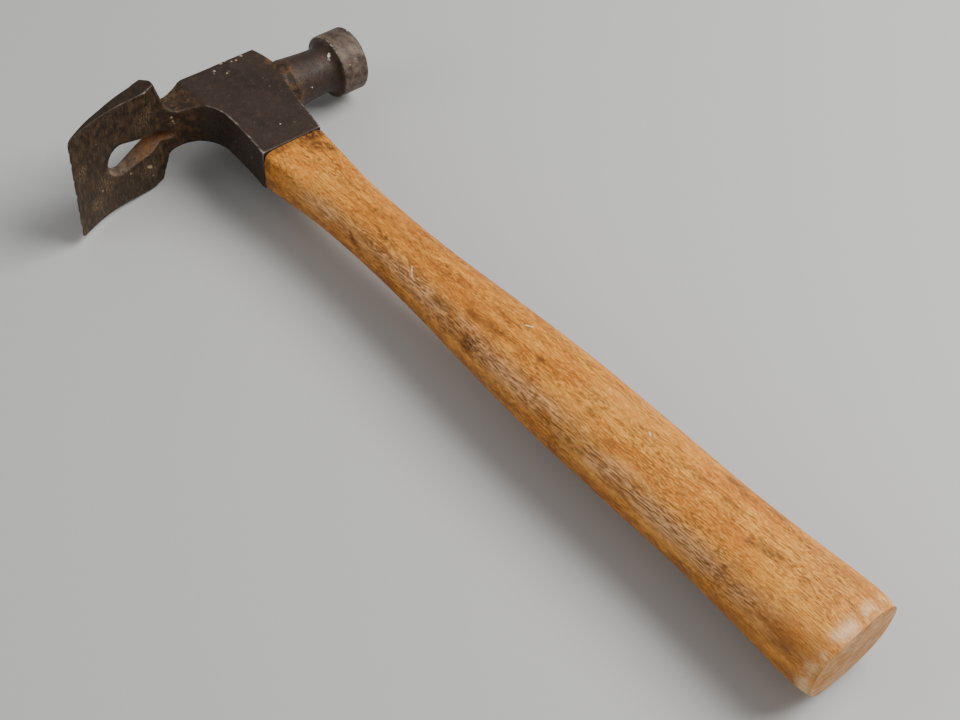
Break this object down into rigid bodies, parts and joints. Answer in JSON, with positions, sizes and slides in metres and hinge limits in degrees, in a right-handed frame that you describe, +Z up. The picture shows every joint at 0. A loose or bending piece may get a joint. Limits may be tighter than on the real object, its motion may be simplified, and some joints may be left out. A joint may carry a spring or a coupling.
{
  "type": "roofing hatchet",
  "caption": "Hand hatchet with a forged steel head, round hammer poll, curved transverse blade with a teardrop nail slot, and a flared wooden handle.",
  "frame": {"origin": "middle of the laid tool's footprint, on the surface it rests on", "axes": "+X from the head down the handle to the butt, +Y from the blade towards the hammer poll, +Z up out of the upper cheek; the tool lies on the blade's lower corner, the bell of the poll and the butt"},
  "size_m": [0.3602, 0.1446, 0.0541],
  "materials": {
    "forged_steel": "forged steel under an old dark brown patina, rust in the corners, worn bright on the edges",
    "handle_wood": "worn oiled hickory with open pores and dark handling marks",
    "wedge_wood": "dry darkened hardwood, end grain",
    "wedge_steel": "mild steel, hammered over and tarnished"
  },
  "bodies": {
    "root": {"head": "forged_steel", "handle": "handle_wood", "kerf_wedge": "wedge_wood", "steel_wedge_1": "wedge_steel", "steel_wedge_2": "wedge_steel"}
  },
  "joints": []
}
